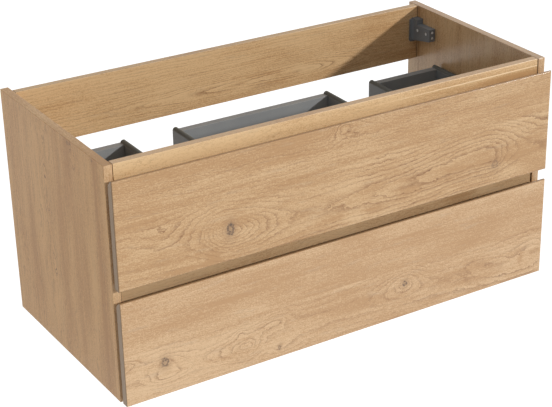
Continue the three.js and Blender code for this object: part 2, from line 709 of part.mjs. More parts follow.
for (const drawer of drawers) {
  const group = new THREE.Group();
  cabinet.add(group);
  const named = (piece) => `${drawer.name}_${piece}`;
  addPiece(group, named("drawer_front"), drawerFront(drawer), oakDecor);
  addPair(group, named("drawer_side_wall"), sideWall(drawer), drawerFoil);
  addPiece(group, named("drawer_base"), drawerBase(drawer), drawerFoil);
  if (drawer.notched) {
    const [inner, outer] = [notchInnerX - wallThickness, notchOuterX + wallThickness];
    addPiece(group, named("drawer_rear_wall_middle"), rearWall(drawer, -inner, inner), drawerFoil);
    addPair(group, named("drawer_rear_wall"), rearWall(drawer, outer, boxInnerHalf), drawerFoil);
    addPipeNotch(group, drawer);
  } else {
    const wall = rearWall(drawer, -boxInnerHalf, boxInnerHalf);
    addPiece(group, named("drawer_rear_wall"), wall, drawerFoil);
  }
  addPair(group, named("runner_drawer_member"), drawerMember(drawer), zincedSteel);
  addPair(group, named("locking_clip"), lockingClip(drawer), clipPlastic);
  addPair(cabinet, named("runner_telescopic_member"), telescopicMember(drawer), zincedSteel);
  addPair(carcass, named("runner_cabinet_member"), cabinetMember(drawer), zincedSteel);
}

export default cabinet;
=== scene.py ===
"""Looks of a wall-hung bathroom vanity cabinet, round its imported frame: oak decor boards, foil-wrapped
drawer boxes, zinced runners and moulded wall hangers. Lengths are metres, and the decor's own measures
millimetres."""

import json
import math

import bpy
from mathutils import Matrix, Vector


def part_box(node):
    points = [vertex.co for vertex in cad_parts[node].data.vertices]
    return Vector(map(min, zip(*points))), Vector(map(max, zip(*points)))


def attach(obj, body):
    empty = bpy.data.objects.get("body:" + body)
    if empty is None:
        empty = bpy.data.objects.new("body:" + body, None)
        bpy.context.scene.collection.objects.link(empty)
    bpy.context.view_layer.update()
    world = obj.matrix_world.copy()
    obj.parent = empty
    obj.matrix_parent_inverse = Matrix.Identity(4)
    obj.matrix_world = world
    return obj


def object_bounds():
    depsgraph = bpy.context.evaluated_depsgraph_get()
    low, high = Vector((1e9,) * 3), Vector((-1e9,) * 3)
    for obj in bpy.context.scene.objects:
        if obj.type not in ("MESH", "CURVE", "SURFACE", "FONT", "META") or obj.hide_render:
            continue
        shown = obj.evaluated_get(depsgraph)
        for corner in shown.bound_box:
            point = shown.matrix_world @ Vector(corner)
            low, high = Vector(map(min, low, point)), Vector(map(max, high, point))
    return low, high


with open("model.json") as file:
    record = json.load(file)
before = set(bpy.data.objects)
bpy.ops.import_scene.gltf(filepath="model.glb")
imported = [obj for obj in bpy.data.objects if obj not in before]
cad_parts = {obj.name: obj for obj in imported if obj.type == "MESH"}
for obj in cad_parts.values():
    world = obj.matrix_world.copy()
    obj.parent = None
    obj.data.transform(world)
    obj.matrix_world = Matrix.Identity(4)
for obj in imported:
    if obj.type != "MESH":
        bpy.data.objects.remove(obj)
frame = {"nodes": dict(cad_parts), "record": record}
cad_low, cad_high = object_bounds()

MILLIMETRE = 0.001
SIDES = {"right": -1, "left": 1}  # and the way in from each, along x
LEVELS = ("upper", "lower")
AXES = {"x": 0, "y": 1, "z": 2}
WHITE = (1.0, 1.0, 1.0, 1.0)

# ----------------------------------------------------------------------------------------------------------
# Nodes


class Nodes:
    """Short ways to add and link the nodes of one tree."""

    def __init__(self, tree):
        self.tree = tree

    def add(self, kind, **settings):
        node = self.tree.nodes.new(kind)
        for name, value in settings.items():
            setattr(node, name, value)
        return node

    def feed(self, socket, value):
        """Links a socket to another node's output, or sets it to a plain value."""
        if isinstance(value, bpy.types.NodeSocket):
            self.tree.links.new(value, socket)
        else:
            socket.default_value = value

    def chain(self, kind, geometry, **inputs):
        """A geometry node after geometry, with its other inputs by name, and what comes out of it."""
        node = self.add(kind)
        self.feed(node.inputs[0], geometry)
        for name, value in inputs.items():
            self.feed(node.inputs[name], value)
        return node.outputs[0]

    def maths(self, operation, *values):
        node = self.add("ShaderNodeMath", operation=operation)
        for socket, value in zip(node.inputs, values):
            self.feed(socket, value)
        return node.outputs[0]

    def total(self, *values):
        result = values[0]
        for value in values[1:]:
            result = self.maths("ADD", result, value)
        return result

    def product(self, *values):
        result = values[0]
        for value in values[1:]:
            result = self.maths("MULTIPLY", result, value)
        return result

    def squared(self, value):
        return self.maths("MULTIPLY", value, value)

    def vector(self, x, y, z):
        node = self.add("ShaderNodeCombineXYZ")
        for socket, value in zip(node.inputs, (x, y, z)):
            self.feed(socket, value)
        return node.outputs[0]

    def parts(self, vector):
        node = self.add("ShaderNodeSeparateXYZ")
        self.feed(node.inputs[0], vector)
        return node.outputs

    def noise(self, place, detail=2.0, roughness=0.5):
        """Noise from 0 to 1 about every unit of place."""
        node = self.add("ShaderNodeTexNoise", noise_dimensions="3D")
        self.feed(node.inputs["Vector"], place)
        node.inputs["Scale"].default_value = 1.0
        node.inputs["Detail"].default_value = detail
        node.inputs["Roughness"].default_value = roughness
        return node.outputs["Fac"]

    def noise_on_piece(self, size, detail=2.0, roughness=0.5):
        """Noise from 0 to 1 about every size millimetres of the piece."""
        scaled = self.add("ShaderNodeVectorMath", operation="SCALE")
        self.feed(scaled.inputs[0], self.add("ShaderNodeTexCoord").outputs["Object"])
        scaled.inputs["Scale"].default_value = 1 / (size * MILLIMETRE)
        return self.noise(scaled.outputs[0], detail, roughness)

    def swing(self, place, reach, detail=2.0, roughness=0.5):
        """Noise from -reach to reach."""
        centred = self.maths("SUBTRACT", self.noise(place, detail, roughness), 0.5)
        return self.product(centred, 2.0 * reach)

    def rise(self, value, start, end, low=0.0, high=1.0):
        """From low at start to high at end, smoothly, and level outside."""
        node = self.add("ShaderNodeMapRange", interpolation_type="SMOOTHSTEP")
        for socket, given in zip(node.inputs, (value, start, end, low, high)):
            self.feed(socket, given)
        return node.outputs[0]

    def stretched(self, noise, low=0.0, high=1.0):
        """From low to high over the range in which most noise lies."""
        return self.rise(noise, 0.3, 0.7, low, high)

    def mix(self, factor, first, second):
        node = self.add("ShaderNodeMix", data_type="FLOAT")
        for index, value in ((0, factor), (2, first), (3, second)):
            self.feed(node.inputs[index], value)
        return node.outputs[0]

    def tint(self, factor, first, second, blend="MIX"):
        """A colour between first and second."""
        node = self.add("ShaderNodeMix", data_type="RGBA", blend_type=blend)
        for index, value in ((0, factor), (6, first), (7, second)):
            self.feed(node.inputs[index], value)
        return node.outputs[2]

    def bump(self, height, depth, strength, normal=None):
        """A normal for a height from 0 to 1 that stands for depth metres."""
        node = self.add("ShaderNodeBump")
        node.inputs["Strength"].default_value = strength
        node.inputs["Distance"].default_value = depth
        self.feed(node.inputs["Height"], height)
        if normal is not None:
            self.feed(node.inputs["Normal"], normal)
        return node.outputs[0]


def linear(red, green, blue):
    """A colour as it is seen on a screen, 0 to 255, as the renderer wants it."""

    def channel(value):
        share = value / 255
        return share / 12.92 if share <= 0.04045 else ((share + 0.055) / 1.055) ** 2.4

    return (channel(red), channel(green), channel(blue), 1.0)


def new_material(name):
    """A material with an empty tree but for its shader, and the shader's node."""
    material = bpy.data.materials.new(name)
    material.use_nodes = True
    return material, Nodes(material.node_tree), material.node_tree.nodes["Principled BSDF"]


def dress(node, material):
    """Gives a CAD node its finish."""
    slots = frame["nodes"][node].material_slots
    if not slots:
        frame["nodes"][node].data.materials.append(material)
    for each in slots:
        each.material = material


# ----------------------------------------------------------------------------------------------------------
# Oak figure

# The palest oak, which also paints the highlight streak on the front top rail.
OAK_PALEST_AND_PAINTED_HIGHLIGHT = linear(232, 206, 172)
OAK_PALE = linear(210, 177, 136)
OAK_BROWN = linear(182, 143, 101)
OAK_LINE = linear(128, 89, 58)
OAK_GREY = linear(182, 159, 132)
KNOT_CORE = linear(92, 76, 66)
KNOT_RIM = linear(158, 124, 92)
ROSE_TINT = (1.05, 1.07, 1.14, 1.0)

FIGURE_INPUTS = ("Along", "Across", "Height", "Layer", "Spacing", "Contrast", "Rose", "Tone", "Knot",
                 "Halo")
FIBRE_SLANT = 0.10  # how far fibres and pores rise across the grain for each step along it


def oak_figure_group():
    """Colour and relief of printed oak. Along and Across are a place on the board in millimetres. Growth
    lines run where Height, in millimetres, passes each Spacing. Layer picks other noise for each plank."""
    tree = bpy.data.node_groups.new("oak figure", "ShaderNodeTree")
    for name in FIGURE_INPUTS:
        tree.interface.new_socket(name=name, in_out="INPUT", socket_type="NodeSocketFloat")
    tree.interface.new_socket(name="Colour", in_out="OUTPUT", socket_type="NodeSocketColor")
    tree.interface.new_socket(name="Relief", in_out="OUTPUT", socket_type="NodeSocketFloat")
    nodes = Nodes(tree)
    given = nodes.add("NodeGroupInput").outputs
    result = nodes.add("NodeGroupOutput").inputs
    slanted = nodes.total(given["Across"], nodes.product(given["Along"], FIBRE_SLANT))

    def place(length, width, layer, across=given["Across"]):
        """A place in noise that changes every length along the grain and every width across it."""
        return nodes.vector(
            nodes.maths("DIVIDE", given["Along"], length),
            nodes.maths("DIVIDE", across, width),
            nodes.total(given["Layer"], layer),
        )

    # How far the place is into its growth ring, 0 to 1, on rings that ripple and differ in width.
    ripple = nodes.swing(place(length=34, width=13, layer=3.1), reach=5.0)
    zigzag = nodes.swing(place(length=7, width=5, layer=7.7, across=slanted), reach=2.6, detail=1.0)
    height = nodes.total(given["Height"], ripple, zigzag)
    steps = nodes.maths("DIVIDE", height, given["Spacing"])
    along_steps = nodes.vector(nodes.maths("DIVIDE", steps, 2.3), given["Layer"], 1.7)
    uneven = nodes.swing(along_steps, reach=0.9, detail=1.0)
    into_ring = nodes.maths("FRACT", nodes.total(steps, uneven))

    # A ring starts with a dark line, broken by pores and bolder in some places than in others.
    porous = nodes.noise(place(length=9, width=2, layer=9.0, across=slanted), roughness=0.6)
    pores = nodes.rise(porous, 0.50, 0.68)
    fading = nodes.maths("POWER", nodes.maths("SUBTRACT", 1.0, into_ring), 5.0)
    line = nodes.product(fading, nodes.rise(into_ring, 0.0, 0.05))
    bold = nodes.rise(nodes.noise(place(length=90, width=24, layer=11.0)), 0.36, 0.56, 0.30, 1.0)
    broken = nodes.mix(pores, 0.85, 1.6)
    line_depth = nodes.product(line, bold, broken, given["Contrast"])

    # How brown the wood between the lines is, from 0 for pale to 1, and below 0 towards light.
    fibre = nodes.swing(place(length=12, width=2.3, layer=5.0, across=slanted), reach=1.0, roughness=0.7)
    fine = place(length=3.2, width=2.2, layer=15.0, across=slanted)
    grain = nodes.swing(fine, reach=1.0, detail=1.0, roughness=0.6)
    streaks = nodes.swing(place(length=150, width=6.5, layer=13.0), reach=1.0, detail=3.0, roughness=0.6)
    clouds = nodes.swing(place(length=230, width=46, layer=17.0), reach=1.0)
    patches = nodes.swing(place(length=80, width=12, layer=19.0), reach=1.0, detail=3.0, roughness=0.55)
    tone = nodes.total(
        nodes.product(clouds, 0.90),
        nodes.product(patches, nodes.product(given["Contrast"], 0.65)),
        nodes.product(streaks, 0.60),
        nodes.product(fibre, 0.92),
        nodes.product(grain, 1.15),
        nodes.product(into_ring, nodes.product(given["Contrast"], -0.22)),
        nodes.total(given["Tone"], 0.58),
    )
    ashen = nodes.noise(place(length=75, width=11, layer=31.0), detail=3.0, roughness=0.6)
    greyed = nodes.rise(ashen, 0.56, 0.72)
    crackle = nodes.noise(place(length=4, width=3.4, layer=29.0), detail=3.0, roughness=0.65)
    cracks = nodes.rise(crackle, 0.32, 0.60, 0.35, 1.0)

    colour = nodes.tint(tone, OAK_PALE, OAK_BROWN)
    # Tone far below 0 turns to the palest oak; the front top rail's painted highlight streak is drawn this
    # way.
    colour = nodes.tint(nodes.rise(tone, -0.5, -2.0), colour, OAK_PALEST_AND_PAINTED_HIGHLIGHT)
    colour = nodes.tint(nodes.product(greyed, 0.25), colour, OAK_GREY)
    colour = nodes.tint(nodes.product(pores, 0.09), colour, OAK_LINE)
    colour = nodes.tint(nodes.product(line_depth, 0.85), colour, OAK_LINE)
    colour = nodes.tint(given["Rose"], colour, ROSE_TINT, blend="MULTIPLY")
    colour = nodes.tint(nodes.product(given["Halo"], 0.45), colour, KNOT_RIM)
    colour = nodes.tint(nodes.product(given["Knot"], cracks), colour, KNOT_CORE)
    relief = nodes.total(
        nodes.product(fibre, 0.9),
        nodes.product(pores, -0.30),
        nodes.product(line_depth, -0.35),
        0.5,
    )
    nodes.feed(result["Colour"], colour)
    nodes.feed(result["Relief"], relief)
    return tree


OAK_FIGURE = oak_figure_group()

# ----------------------------------------------------------------------------------------------------------
# Oak boards

# Darker top and bottom edges of the fronts: the banding's tone, partly painted shade for the dark line in
# the gap above the lip.
OAK_TOP_BAND_AND_GAP_SHADE = linear(150, 112, 74)
TOP_BAND_AND_GAP_SHADE_SHARE = 0.8
OAK_END_BAND = linear(134, 106, 73)
END_BAND_SHARE = 0.85
# Painted shade of the gaps at the rails' ends, where they meet the side panels.
OAK_END_GAP_SHADE = linear(92, 66, 44)
END_GAP_SHADE_WIDTH = 0.8
END_GAP_SHADE_BLUR = 0.4
BANDING_LAYER = 57.3
KNOT_TEAR = 6  # how coarse a knot's ragged rim is
ARRIS_ROUGHNESS = 0.19
OAK_IOR = 1.45
BOARD_EDGE = 999  # the top of a plank that ends with its board


def eddy(along, across, sink, before, after, height, lean=0.0, power=1.0):
    """A place where the growth lines turn. It sinks their height by sink at its middle, and reaches before
    and after it along the grain and height across it. It rises by lean along the grain, and a low power
    gives it a sharp middle."""
    return dict(along=along, across=across, sink=sink, before=before, after=after, height=height, lean=lean,
                power=power)


def knot(along, across, width, tall, depth):
    """The dark core of a knot, width along the grain and tall across it."""
    return dict(along=along, across=across, width=width, tall=tall, depth=depth)


def spot(along, across, reach, height, tone):
    """A soft place that is darker by tone, or paler where it is negative."""
    return dict(along=along, across=across, reach=reach, height=height, tone=tone)


def plank(top, layer, middle=None, tip=14.0, slope=1.0, spacing=10.0, contrast=1.0, rose=0.0, tone=0.0,
          wander=1.0, eddies=(), knots=(), spots=()):
    """One of the planks that the decor shows on a board, up to top, in millimetres from the board's corner.
    With a middle the growth lines close in arches round that line, and otherwise they run straight."""
    return dict(top=top, layer=layer, middle=middle, tip=tip, slope=slope, spacing=spacing,
                contrast=contrast, rose=rose, tone=tone, wander=wander, eddies=eddies, knots=knots,
                spots=spots)


class Board(Nodes):
    """The nodes of one board's decor, and the place on it: along the grain and across it, in millimetres
    from the lowest corner of its box. face is the axis across its faces, and grain the one its figure runs
    along."""

    def __init__(self, tree, face, grain, box):
        super().__init__(tree)
        low, high = box
        third = next(axis for axis in AXES if axis not in (face, grain))
        coordinates = self.add("ShaderNodeTexCoord")
        place = self.parts(coordinates.outputs["Object"])
        self.normal = coordinates.outputs["Normal"]
        facing = [self.maths("ABSOLUTE", part) for part in self.parts(self.normal)]
        self.on_face = self.maths("GREATER_THAN", facing[AXES[face]], 0.8)
        self.on_end = self.maths("GREATER_THAN", facing[AXES[grain]], 0.5)
        self.on_long_edge = self.maths("GREATER_THAN", facing[AXES[third]], 0.5)
        from_corner = {}
        for axis, number in AXES.items():
            inwards = self.maths("SUBTRACT", place[number], low[number])
            from_corner[axis] = self.maths("DIVIDE", inwards, MILLIMETRE)
        self.along = self.mix(self.on_end, from_corner[grain], from_corner[third])
        self.across = self.mix(self.on_face, from_corner[face], from_corner[third])
        self.length = (high[AXES[grain]] - low[AXES[grain]]) / MILLIMETRE

    def wavering(self, length, width, layer, reach, detail):
        """Noise from -reach to reach that changes every length along the grain and width across it."""
        along = self.maths("DIVIDE", self.along, length)
        across = self.maths("DIVIDE", self.across, width)
        return self.swing(self.vector(along, across, layer), reach, detail)

    def off(self, mark):
        """How far the place is past a mark along the grain, and up from it across the grain."""
        return (self.maths("SUBTRACT", self.along, mark["along"]),
                self.maths("SUBTRACT", self.across, mark["across"]))

    def outward(self, past, up, reach, height):
        """0 in the middle of an oval of reach along the grain and height across it, and 1 on its rim."""
        return self.total(self.squared(self.maths("DIVIDE", past, reach)),
                          self.squared(self.maths("DIVIDE", up, height)))

    def bell(self, outward):
        """1 in the middle of an oval, and fading out past its rim."""
        return self.maths("EXPONENT", self.product(outward, -1.0))

    def growth_height(self, given):
        """The height whose level lines are a plank's growth lines, and how strongly eddies bend them."""
        layer, wander = given["layer"], given["wander"]
        drift = self.wavering(length=250, width=90, layer=layer, reach=40.0 * wander, detail=2.0)
        swell = self.wavering(length=70, width=30, layer=layer + 2.5, reach=9.0 * wander, detail=1.0)
        if given["middle"] is None:
            height = self.product(self.across, given["slope"])
        else:
            off_middle = self.maths("SUBTRACT", self.across, given["middle"])
            arch = self.maths("SQRT", self.total(self.squared(off_middle), given["tip"] ** 2))
            height = self.product(arch, given["slope"])
        height = self.total(height, drift, swell)
        bent = 0.0
        for each in given["eddies"]:
            past, up = self.off(each)
            up = self.maths("SUBTRACT", up, self.product(past, each["lean"]))
            reach = self.mix(self.maths("GREATER_THAN", past, 0.0), each["before"], each["after"])
            outward = self.outward(past, up, reach, each["height"])
            dip = self.bell(self.maths("POWER", outward, each["power"]))
            height = self.maths("SUBTRACT", height, self.product(dip, each["sink"]))
            bent = self.total(bent, dip)
        return height, bent

    def knot_marks(self, given):
        """How much of a knot's core and of the darker wood round it shows, 0 to 1."""
        core, halo = 0.0, 0.0
        for each in given["knots"]:
            past, up = self.off(each)
            out = self.maths("SQRT", self.outward(past, up, each["width"] / 2, each["tall"] / 2))
            tear_along = self.maths("DIVIDE", past, KNOT_TEAR)
            tear_across = self.maths("DIVIDE", up, KNOT_TEAR)
            place = self.vector(tear_along, tear_across, each["along"])
            ragged = self.total(out, self.swing(place, reach=0.8, detail=3.0))
            heart = self.rise(ragged, 0.30, 0.70, 0.30, 1.0)
            core = self.total(core, self.product(self.rise(ragged, 1.25, 0.75), heart, each["depth"]))
            halo = self.total(halo, self.product(self.rise(ragged, 3.0, 0.9), each["depth"]))
        return core, halo

    def plank_tone(self, given):
        """How dark a plank is, with its spots."""
        tone = given["tone"]
        for each in given["spots"]:
            shown = self.bell(self.outward(*self.off(each), each["reach"], each["height"]))
            tone = self.total(tone, self.product(shown, each["tone"]))
        return tone

    def plank_figure(self, given):
        """What the oak figure takes from a plank."""
        height, bent = self.growth_height(given)
        core, halo = self.knot_marks(given)
        strength = self.maths("MINIMUM", self.total(self.product(bent, 0.75), 0.45), 1.2)
        return {"Height": height, "Layer": given["layer"], "Spacing": given["spacing"],
                "Contrast": self.product(strength, given["contrast"]), "Rose": given["rose"],
                "Tone": self.plank_tone(given), "Knot": core, "Halo": halo}

    def board_figure(self, planks, edge_tone, end_tone, end_spots):
        """The planks one above the other on the faces, and the same decor as banding along the edges."""
        faces = self.plank_figure(planks[0])
        for lower, upper in zip(planks, planks[1:]):
            above = self.maths("GREATER_THAN", self.across, lower["top"])
            other = self.plank_figure(upper)
            faces = {key: self.mix(above, faces[key], other[key]) for key in faces}
        banding = plank(0, layer=BANDING_LAYER, spacing=3.4, contrast=0.6, tone=edge_tone, wander=0.1)
        edges = self.plank_figure(banding)
        ends = plank(0, layer=BANDING_LAYER, tone=end_tone, spots=end_spots)
        edges["Tone"] = self.mix(self.on_end, edge_tone, self.plank_tone(ends))
        return {key: self.mix(self.on_face, edges[key], faces[key]) for key in faces}

    def rounded(self, radius):
        """A normal for arrises of a radius, and how far the place lies on one, 0 to 1."""
        bevel = self.add("ShaderNodeBevel", samples=8)
        bevel.inputs["Radius"].default_value = radius
        turned = self.add("ShaderNodeVectorMath", operation="DOT_PRODUCT")
        self.feed(turned.inputs[0], bevel.outputs[0])
        self.feed(turned.inputs[1], self.normal)
        return bevel.outputs[0], self.rise(turned.outputs["Value"], 0.998, 0.95)


# Tints multiply the figure's colour on faces, long edges and ends. An end gap shade darkens the last
# millimetre at both ends as painted shade of the gaps where the rails meet the side panels, and fronts have
# browner banding, darker on their top and bottom edges partly as painted shade of the gap above the lip. An
# arris is the radius that edges are shaded with.
PLAIN_FINISH = dict(tint=(1, 1, 1), edge_tint=(1, 1, 1), end_tint=(1, 1, 1), edge_tone=-0.2, end_tone=-0.2,
                    end_spots=(), end_gap_shade=False, is_front=False, arris=0.0, gloss=0.5, roughness=0.34)


def oak_material(name, face, grain, box, planks, own_finish):
    """Oak decor on one board."""
    finish = {**PLAIN_FINISH, **own_finish}
    material, _, shader = new_material(name)
    board = Board(material.node_tree, face, grain, box)
    figure = board.add("ShaderNodeGroup", node_tree=OAK_FIGURE)
    shown = board.board_figure(planks, finish["edge_tone"], finish["end_tone"], finish["end_spots"])
    for socket, value in {"Along": board.along, "Across": board.across, **shown}.items():
        board.feed(figure.inputs[socket], value)

    tint = board.tint(board.on_face, (*finish["edge_tint"], 1.0), (*finish["tint"], 1.0))
    tint = board.tint(board.on_end, tint, (*finish["end_tint"], 1.0))
    colour = board.tint(1.0, figure.outputs["Colour"], tint, blend="MULTIPLY")
    # Painted shade: the last 0.8 mm at each end is darkened for the gap against the side panel.
    if finish["end_gap_shade"]:
        from_end = board.maths("MINIMUM", board.along, board.maths("SUBTRACT", board.length, board.along))
        shaded_end_strip = board.rise(from_end, END_GAP_SHADE_WIDTH + END_GAP_SHADE_BLUR, END_GAP_SHADE_WIDTH)
        colour = board.tint(shaded_end_strip, colour, OAK_END_GAP_SHADE)
    if finish["is_front"]:
        # The top and bottom edges of the fronts darker: the banding's own tone, and partly painted shade
        # for the dark gap line above the lip.
        colour = board.tint(board.product(board.on_long_edge, TOP_BAND_AND_GAP_SHADE_SHARE), colour, OAK_TOP_BAND_AND_GAP_SHADE)
        colour = board.tint(board.product(board.on_end, END_BAND_SHARE), colour, OAK_END_BAND)
    roughness, normal = finish["roughness"], None
    if finish["arris"]:
        normal, on_arris = board.rounded(finish["arris"])
        roughness = board.mix(on_arris, roughness, ARRIS_ROUGHNESS)
    board.feed(shader.inputs["Base Color"], colour)
    board.feed(shader.inputs["Roughness"], roughness)
    shader.inputs["IOR"].default_value = OAK_IOR
    shader.inputs["Specular IOR Level"].default_value = finish["gloss"]
    relief = board.bump(figure.outputs["Relief"], 0.12 * MILLIMETRE, 0.6, normal)
    board.feed(shader.inputs["Normal"], relief)
    return material


def oak_planks():
    """The planks shown on each board, from its lowest corner up, or from the front back on the sides."""
    return {
        "side_panel_left": [
            plank(
                225, layer=4.0, spacing=6.5, contrast=1.1, tone=-0.12,
                eddies=(eddy(473, 146, sink=40, before=60, after=40, height=24),),
                knots=(
                    knot(474, 146, width=7, tall=10, depth=0.5),
                    knot(475, 48, width=6, tall=5, depth=0.6),
                ),
                spots=(
                    spot(240, 41, reach=600, height=7, tone=0.65),
                    spot(240, 8, reach=600, height=12, tone=-0.6),
                    spot(240, 78, reach=500, height=22, tone=-0.35),
                    spot(420, 150, reach=150, height=16, tone=0.6),
                    spot(160, 145, reach=160, height=14, tone=0.3),
                    spot(330, 205, reach=260, height=18, tone=0.25),
                    spot(240, 25, reach=600, height=80, tone=0.22),
                ),
            ),
            plank(
                BOARD_EDGE, layer=6.0, middle=262, tip=10, spacing=9, contrast=1.5, tone=-0.22,
                eddies=(
                    eddy(340, 262, sink=30, before=60, after=50, height=22),
                    eddy(185, 246, sink=22, before=60, after=50, height=18),
                ),
                spots=(
                    spot(240, 395, reach=400, height=22, tone=0.35),
                    spot(260, 345, reach=200, height=8, tone=0.3),
                ),
            ),
        ],
        "side_panel_right": [
            plank(
                190, layer=9.0, spacing=6.5, contrast=0.7, tone=-0.35,
                spots=(
                    spot(240, 66, reach=600, height=12, tone=0.4),
                    spot(240, 141, reach=600, height=9, tone=0.35),
                ),
            ),
            plank(
                BOARD_EDGE, layer=11.0, middle=330, spacing=9, contrast=0.7, tone=-0.35,
                spots=(
                    spot(240, 411, reach=600, height=3, tone=1.3),
                    spot(240, 262, reach=600, height=10, tone=0.4),
                    spot(240, 352, reach=600, height=14, tone=0.4),
                ),
            ),
        ],
        "front_top_rail": [
            plank(
                68, layer=15.0, spacing=7, contrast=0.7, tone=0.06,
                spots=(
                    spot(0, 60, reach=300, height=60, tone=-0.65),
                    spot(930, 45, reach=230, height=60, tone=0.4),
                    spot(900, 66, reach=120, height=8, tone=0.9),
                ),
            ),
            plank(
                BOARD_EDGE, layer=17.0, spacing=6, contrast=0.7, tone=-0.35,
                spots=(
                    # Painted highlight: a thin pale streak across the rail, standing in for sunlight thrown
                    # onto it off the upper front's lip.
                    spot(830, 86, reach=200, height=1.1, tone=-4.0),
                    spot(110, 84, reach=180, height=30, tone=-0.3),
                    spot(300, 82, reach=220, height=9, tone=-0.3),
                    spot(740, 93, reach=220, height=8, tone=0.5),
                    spot(890, 74, reach=130, height=6, tone=1.3),
                ),
            ),
        ],
        "middle_rail": [
            plank(
                BOARD_EDGE, layer=21.0, spacing=7, contrast=0.9, tone=-0.3,
                spots=(
                    spot(40, 50, reach=180, height=60, tone=-0.4),
                    spot(486, 50, reach=22, height=40, tone=-0.5),
                    spot(780, 45, reach=45, height=30, tone=0.9),
                    spot(835, 48, reach=22, height=16, tone=-0.6),
                ),
            ),
        ],
        "rear_top_rail": [
            plank(
                BOARD_EDGE, layer=27.0, middle=33, tip=7, slope=2.4, spacing=16, contrast=1.15, tone=-0.3,
                wander=0.5, eddies=(eddy(664, 33, sink=80, before=430, after=110, height=30, power=0.8),),
                spots=(
                    spot(480, 130, reach=500, height=28, tone=-0.3),
                    spot(480, 0, reach=500, height=26, tone=0.3),
                    spot(664, 33, reach=60, height=8, tone=-0.6),
                    spot(860, 80, reach=90, height=60, tone=0.45),
                ),
            ),
        ],
        "bottom_panel": [
            plank(170, layer=33.0, middle=80, spacing=10, contrast=0.7),
            plank(BOARD_EDGE, layer=35.0, spacing=6, contrast=0.5),
        ],
        "upper_drawer_front": [
            plank(
                134, layer=40.0, middle=62, tip=30, slope=0.95, spacing=11, wander=0.3, tone=0.07,
                eddies=(
                    eddy(228, 63, sink=108, before=40, after=76, height=40, lean=-0.1, power=0.6),
                    eddy(100, 84, sink=-17, before=52, after=45, height=28),
                    eddy(822, 76, sink=50, before=460, after=80, height=58, lean=0.13),
                    eddy(1000, 120, sink=-22, before=95, after=60, height=50),
                    eddy(620, 105, sink=-12, before=80, after=80, height=30),
                    eddy(760, 15, sink=-12, before=90, after=70, height=28),
                    eddy(857, 42, sink=12, before=16, after=16, height=14, power=0.7),
                ),
                knots=(
                    knot(233, 64, width=16, tall=25, depth=0.95),
                    knot(855, 43, width=16, tall=20, depth=0.5),
                ),
                spots=(
                    spot(500, 100, reach=60, height=26, tone=-0.45),
                    spot(505, 25, reach=28, height=20, tone=-0.6),
                    spot(195, 14, reach=14, height=10, tone=1.0),
                    spot(550, 20, reach=26, height=8, tone=0.8),
                    spot(985, 58, reach=16, height=7, tone=0.9),
                    spot(125, 8, reach=60, height=6, tone=0.9),
                    spot(44, 121, reach=80, height=9, tone=0.6),
                    spot(5, 70, reach=26, height=14, tone=0.6),
                    spot(86, 88, reach=34, height=6, tone=0.5),
                    spot(303, 45, reach=24, height=8, tone=0.5),
                    spot(480, 27, reach=43, height=9, tone=0.8),
                    spot(646, 39, reach=30, height=8, tone=0.8),
                    spot(553, 69, reach=32, height=7, tone=0.5),
                    spot(755, 56, reach=42, height=6, tone=0.5),
                    spot(914, 49, reach=46, height=9, tone=0.8),
                    spot(974, 21, reach=50, height=20, tone=0.5),
                ),
            ),
            plank(
                BOARD_EDGE, layer=43.0, spacing=6.0, contrast=1.15, tone=0.2, wander=0.5,
                eddies=(eddy(486, 214, sink=40, before=30, after=80, height=26),),
            ),
        ],
        "lower_drawer_front": [
            plank(
                112, layer=52.0, middle=56, tip=24, slope=0.85, spacing=11, contrast=0.9, rose=1.0,
                wander=0.25, tone=0.12,
                eddies=(
                    eddy(84, 69, sink=28, before=24, after=34, height=22, power=0.6),
                    eddy(86, 40, sink=22, before=34, after=44, height=17),
                    eddy(-5, 86, sink=26, before=30, after=36, height=16),
                    eddy(262, 44, sink=42, before=64, after=26, height=28),
                    eddy(247, 81, sink=16, before=13, after=13, height=10),
                    eddy(320, 80, sink=28, before=50, after=36, height=15, lean=0.1),
                    eddy(333, 21, sink=22, before=18, after=40, height=14, power=0.6),
                    eddy(633, 76, sink=50, before=48, after=34, height=28, power=0.7),
                    eddy(840, 62, sink=14, before=60, after=80, height=18, lean=-0.3),
                    eddy(975, 62, sink=12, before=60, after=34, height=26, lean=-0.5),
                    eddy(950, 8, sink=26, before=240, after=80, height=40),
                ),
                knots=(
                    knot(84, 69, width=16, tall=20, depth=0.85),
                    knot(333, 21, width=6, tall=9, depth=0.7),
                    knot(633, 75, width=11, tall=12, depth=0.9),
                ),
                spots=(
                    spot(120, 50, reach=210, height=90, tone=-0.5),
                    spot(940, 60, reach=90, height=60, tone=-0.2),
                    spot(936, 46, reach=7, height=16, tone=0.7),
                    spot(244, 33, reach=56, height=12, tone=0.6),
                    spot(406, 25, reach=53, height=11, tone=0.3),
                    spot(489, 95, reach=40, height=8, tone=0.5),
                    spot(629, 37, reach=44, height=10, tone=0.4),
                    spot(590, 7, reach=32, height=16, tone=0.3),
                    spot(809, 66, reach=45, height=18, tone=0.6),
                    spot(919, 65, reach=20, height=7, tone=0.4),
                    spot(768, 16, reach=28, height=6, tone=-0.8),
                    spot(121, 6, reach=52, height=5, tone=-0.6),
                ),
            ),
            plank(
                BOARD_EDGE, layer=55.0, spacing=5.0, contrast=0.35, rose=1.0, tone=0.13, wander=0.5,
                spots=(
                    spot(537, 207, reach=80, height=9, tone=0.5),
                    spot(371, 141, reach=64, height=10, tone=0.4),
                    spot(964, 120, reach=38, height=7, tone=0.4),
                    spot(420, 165, reach=170, height=40, tone=0.12),
                    spot(692, 175, reach=20, height=1.3, tone=2.2),
                    spot(640, 181, reach=40, height=2.5, tone=0.8),
                    spot(240, 160, reach=60, height=5, tone=0.6),
                    spot(790, 125, reach=30, height=7, tone=0.5),
                ),
            ),
        ],
    }


